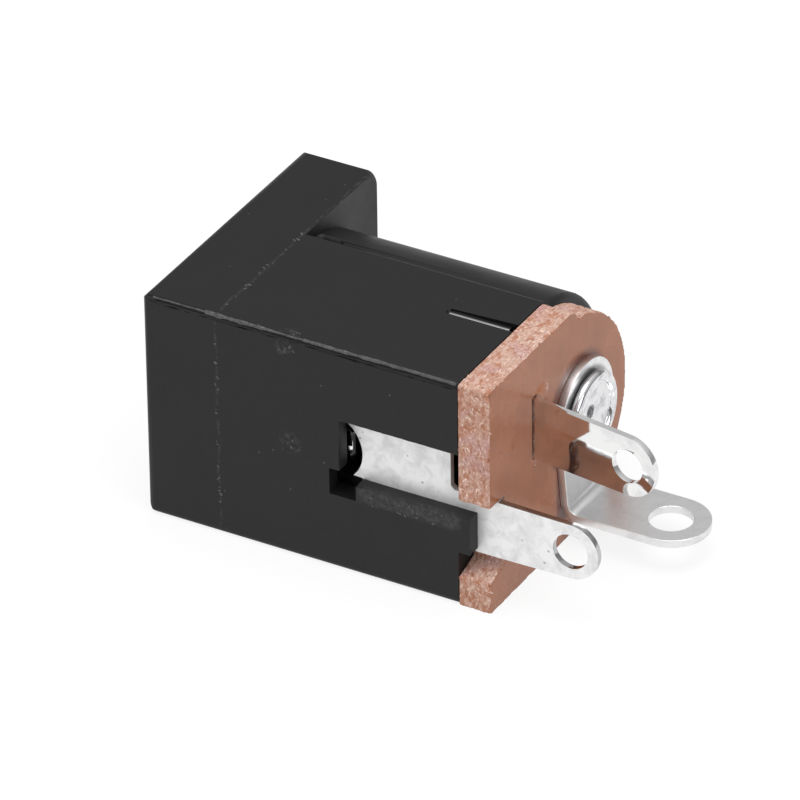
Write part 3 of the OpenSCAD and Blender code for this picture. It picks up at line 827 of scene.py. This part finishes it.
def makeHousing(v):
    housing = solidCopy("housing", "mouldedHousing")
    housing.data.materials.append(plastic)
    work = bmesh.new()
    work.from_mesh(housing.data)
    for start, end, radius, unevenness, seed in v["rubbedEdges"]:
        rubEdge(work, start, end, radius, unevenness, seed)
    # The mouth's rim is slightly rounded
    rim = [edge for edge in work.edges if len(edge.link_faces) == 2 and all(
        vert.co.x < 0.01 * mm and abs(math.hypot(vert.co.y, vert.co.z) - v["mouthRadius"] * mm) < 0.02 * mm
        for vert in edge.verts)]
    bevelEdges(work, rim, v["mouthRim"])
    work.to_mesh(housing.data)
    work.free()
    trimCorners(housing, v)
    print("housing", len(housing.data.vertices), len(housing.data.polygons))

    crumbTree = makeCrumbTree("mouldCrumbs", wornPlastic)
    beadTree = makeBeadTree("mouldRidge", wornPlastic)
    extra = makeRidge(v, beadTree) + strewCrumbs(v, crumbTree)
    cutGroove(housing, v, beadTree)
    joinMeshes(housing, extra)
    shadeSmooth(housing)
    return finishPiece(housing, "housing")


makeHousing(housingLook)
print("housing made")


boardLook = {
    "voxel": 0.06,         # mm, between points of the worn surface
    "tear": 0.045,         # mm, roughness of the die-cut edge
    "chip": 0.12,          # mm, deepest chip on the arris
    "chipReach": 0.12,     # mm, from the rear face
    "fibresPerMm": 9.0,    # on each square millimetre of the cut
    "fibreSize": (0.010, 0.026),  # mm, smallest and largest
    "fibreLonger": 4.0,
    "liftPlace": (-2.78, 2.42),   # mm, middle of the patch that the punch lifted above the slot
    "liftSize": (0.45, 0.40),
    "liftHeight": 0.13,
    "nickHeight": 0.05,
    "nicks": [(-3.36, -0.16, 0.10), (-4.9, 1.4, 0.08), (-4.3, -3.0, 0.06)],  # mm, y, z and size
    "skin": 0.05,          # mm, what still counts as lying on a face
    "flatFacing": 0.93,    # share of X in the normal of a flat face
}


# How far the lifted patch and the nicks raise a point of the rear face
def rearRelief(place, fine, v):
    y = (place.y - v["liftPlace"][0]) / v["liftSize"][0]
    z = (place.z - v["liftPlace"][1]) / v["liftSize"][1]
    far = y * y + z * z
    rise = 0.0
    if far < 1 and z > -0.75:
        rise += v["liftHeight"] * (1 - far) ** 0.4 * (0.8 + 0.5 * fine)
    for nickY, nickZ, size in v["nicks"]:
        away = math.hypot(place.y - nickY, place.z - nickZ) / size
        if away < 1.6:
            rise += v["nickHeight"] * (0.8 - abs(away - 0.8) if away > 0.6 else away - 1)
    return rise


# Where wear moves a point of the board, in millimetres
def wornPlace(place, normal, low, high, v):
    front, back = place.x - low.x, high.x - place.x
    onEdge = min(1.0, max(0.0, 1.4 - 1.7 * abs(normal.x)))
    fibres = noise.noise(Vector((place.x * 5.5, place.y * 2.0, place.z * 2.0)))
    fine = noise.noise(Vector((place.x * 9.0, place.y * 7.0, place.z * 7.0)) + Vector((9, 3, 5)))
    broad = noise.noise(place * 0.9)
    push = onEdge * v["tear"] * (0.7 * fibres + 0.6 * fine + 0.5 * broad)
    arris = max(0.0, 1 - back / v["chipReach"]) * onEdge
    bite = max(0.0, noise.noise(place * 2.6 + Vector((4, 8, 1))) - 0.12)
    push -= arris * v["chip"] * bite * 2.5
    move = normal * push
    flat = abs(normal.x) > v["flatFacing"]
    if flat and back < v["skin"]:
        move.x += rearRelief(place, fine, v)
    if flat and min(front, back) < v["skin"]:
        place.x = low.x if front < back else high.x
    if front < v["skin"]:
        move.x = 0
    return place + move


def makeBoard(v):
    board = solidCopy("back_board", "laminateBoard")
    board.data.transform(Matrix.Scale(1 / mm, 4))  # the remesh works in millimetres
    remesh = board.modifiers.new("remesh", "REMESH")
    remesh.mode = "VOXEL"
    remesh.voxel_size = v["voxel"]
    remesh.adaptivity = 0.0
    dense = evaluatedMesh(board)
    board.modifiers.clear()
    board.data = dense
    normals = [vert.normal.copy() for vert in dense.vertices]
    for vert, normal in zip(dense.vertices, normals):
        vert.co = wornPlace(vert.co.copy(), normal, boardLow / mm, boardHigh / mm, v)
    dense.transform(Matrix.Scale(mm, 4))
    dense.materials.clear()
    dense.materials.append(boardFace)
    dense.materials.append(boardEdge)
    for polygon in dense.polygons:
        polygon.material_index = 0 if abs(polygon.normal.x) > 0.72 else 1
        polygon.use_smooth = True

    # Fibres grow on the cut edge alone
    cutEdge = newObject("cutEdge", dense.copy())
    work = bmesh.new()
    work.from_mesh(cutEdge.data)
    flatFaces = [face for face in work.faces if face.material_index == 0]
    bmesh.ops.delete(work, geom=flatFaces, context="FACES")
    work.to_mesh(cutEdge.data)
    work.free()
    smallest, largest = v["fibreSize"]
    fibres = runTree(cutEdge, makeCrumbTree("laminateFibres", boardFibre),
                     {"Per Square Metre": v["fibresPerMm"] / mm / mm, "Smallest": smallest * mm,
                      "Largest": largest * mm, "Longer": v["fibreLonger"], "Seed": 5})
    joinMeshes(board, [fibres])
    print("board", len(dense.vertices), len(dense.polygons))
    return finishPiece(board, "back_board")


makeBoard(boardLook)
print("board made")


# Metal pieces: punched edges rolled over on both sides
def makeMetal(node, name, material, v):
    piece = solidCopy(node, name)
    piece.data.materials.append(material)
    roundEdges(piece, v["rolledEdge"], v["segments"])
    shadeSmooth(piece)
    return finishPiece(piece, node)


terminalLook = {"rolledEdge": 0.12, "segments": 4}  # mm
makeMetal("pin_terminal", "pinTerminal", terminalTin, terminalLook)

pinLook = {"rolledEdge": 0.03, "segments": 4}
makeMetal("centre_pin", "centrePin", pinPlate, pinLook)

sleeveLook = {
    "rolledEdge": 0.10,
    "segments": 4,
    "innerFacing": 0.6,    # share of Y in the normal above which a face lies on the lug's inner side
    "outerFacing": -0.97,  # and below which it lies on its outer side
}


# The lug's inner side was never rubbed, and it mirrors the board
def makeSleeve(v):
    sleeve = makeMetal("sleeve_contact", "sleeveContact", sleeveTin, v)
    sleeve.data.materials.append(switchTin)
    sleeve.data.materials.append(rimTin)
    for polygon in sleeve.data.polygons:
        if polygon.center.x > boardBack:
            if polygon.normal.y > v["innerFacing"]:
                polygon.material_index = 1
            elif polygon.normal.y > v["outerFacing"]:
                polygon.material_index = 2


makeSleeve(sleeveLook)

switchLook = {
    "rolledEdge": 0.112,
    "segments": 5,
    "domeMiddle": (7.50, -5.24, -0.03),  # mm
    "domeRadii": (0.44, 0.20, 0.55),
}


# Pressed dome on the finger's tip
def makeDome(v):
    mesh = bpy.data.meshes.new("dome")
    work = bmesh.new()
    bmesh.ops.create_uvsphere(work, u_segments=32, v_segments=20, radius=1.0)
    for vert in work.verts:
        spots = zip(v["domeMiddle"], v["domeRadii"], vert.co)
        vert.co = Vector([(place + reach * value) * mm for place, reach, value in spots])
    for face in work.faces:
        face.smooth = True
    work.to_mesh(mesh)
    work.free()
    mesh.materials.append(switchTin)
    return mesh


switch = makeMetal("switch_contact", "switchContact", switchTin, switchLook)
joinMeshes(switch, [makeDome(switchLook)])
print("metal pieces made")


# White table that keeps a faint shadow, and soft boxes round it
stage = {
    "tableSize": 3.0,      # m
    "tableWhite": 0.82,
    "cleanShare": 0.84,    # of the table that stays clean white where shadow falls
    "skyStrength": 1.0,
    "frontSky": [(0.0, 0.05), (0.18, 0.09), (0.4, 0.36), (0.6, 0.66), (1.0, 1.0)],  # height, brightness
    "backSky": [(0.0, 0.42), (0.2, 0.32), (0.4, 0.42), (0.6, 0.62), (1.0, 1.0)],
    # Soft boxes: name, place and size in metres, watts
    "boxes": [
        ("overhead", (0.05, -0.05, 0.6), (0.5, 0.4), 2.4),
        ("rightBox", (0.6, -0.25, 0.35), (0.4, 0.4), 1.6),
        ("frontBox", (-0.25, -0.6, 0.3), (0.4, 0.4), 1.2),
    ],
    "boxAim": (0.007, -0.001, 0),
}


def makeTable(v):
    size, z, white = v["tableSize"], cadLow.z, v["tableWhite"]
    mesh = bpy.data.meshes.new("table")
    corners = [(-size, -size, z), (size, -size, z), (size, size, z), (-size, size, z)]
    mesh.from_pydata(corners, [], [(0, 1, 2, 3)])
    table = newObject("table", mesh)
    material, tree, shader = newMaterial("tableTop", Base_Color=(white, white, white, 1), Roughness=0.9,
                                         Specular_IOR_Level=0.0)
    path = addNode(tree, "ShaderNodeLightPath")
    seen = maxOf(tree, path.outputs["Is Camera Ray"], path.outputs["Is Glossy Ray"])
    seen = maxOf(tree, seen, path.outputs["Is Transmission Ray"])
    glow = addNode(tree, "ShaderNodeEmission", {"Color": (1, 1, 1, 1), "Strength": 1.0})
    mixed = addNode(tree, "ShaderNodeMixShader", {0: timesOf(tree, seen, v["cleanShare"]),
                                                 1: shader.outputs[0], 2: glow.outputs[0]})
    tree.links.new(mixed.outputs[0], tree.nodes["Material Output"].inputs["Surface"])
    mesh.materials.append(material)


# Dim low down and bright overhead, as under a soft box in a room
def makeWorld(v):
    world = bpy.data.worlds.new("studio")
    world.use_nodes = True
    tree = world.node_tree
    sky = tree.nodes["Background"]
    sky.inputs["Color"].default_value = (1, 1, 1, 1)
    sky.inputs["Strength"].default_value = v["skyStrength"]
    direction = addNode(tree, "ShaderNodeTexCoord").outputs["Generated"]
    axes = addNode(tree, "ShaderNodeSeparateXYZ", {0: direction})
    skies = []
    for levels in (v["frontSky"], v["backSky"]):
        node = addNode(tree, "ShaderNodeValToRGB", {0: axes.outputs[2]})
        ramp = node.color_ramp
        ramp.interpolation = "EASE"
        for element, (position, level) in zip(ramp.elements, (levels[0], levels[-1])):
            element.position = position
            element.color = (level, level, level, 1)
        for position, level in levels[1:-1]:
            ramp.elements.new(position).color = (level, level, level, 1)
        skies.append(node.outputs[0])
    behind = stepOf(tree, axes.outputs[1], -0.1, 0.6)
    tree.links.new(blendOf(tree, behind, skies[0], skies[1]), sky.inputs["Color"])
    path = addNode(tree, "ShaderNodeLightPath")
    bare = addNode(tree, "ShaderNodeBackground", {"Color": (1, 1, 1, 1), "Strength": 1.0})
    mixed = addNode(tree, "ShaderNodeMixShader", {0: path.outputs["Is Camera Ray"],
                                                 1: sky.outputs[0], 2: bare.outputs[0]})
    tree.links.new(mixed.outputs[0], tree.nodes["World Output"].inputs["Surface"])
    bpy.context.scene.world = world


def makeSoftBox(name, place, size, power, aim):
    data = bpy.data.lights.new(name, "AREA")
    data.shape = "RECTANGLE"
    data.size, data.size_y = size
    data.energy = power
    lamp = newObject(name, data)
    lamp.location = place
    lamp.rotation_euler = (Vector(aim) - Vector(place)).to_track_quat("-Z", "Y").to_euler()


makeTable(stage)
makeWorld(stage)
for boxName, boxPlace, boxSize, boxPower in stage["boxes"]:
    makeSoftBox(boxName, boxPlace, boxSize, boxPower, stage["boxAim"])
bpy.context.scene.view_settings.view_transform = "Standard"

print("stage set")
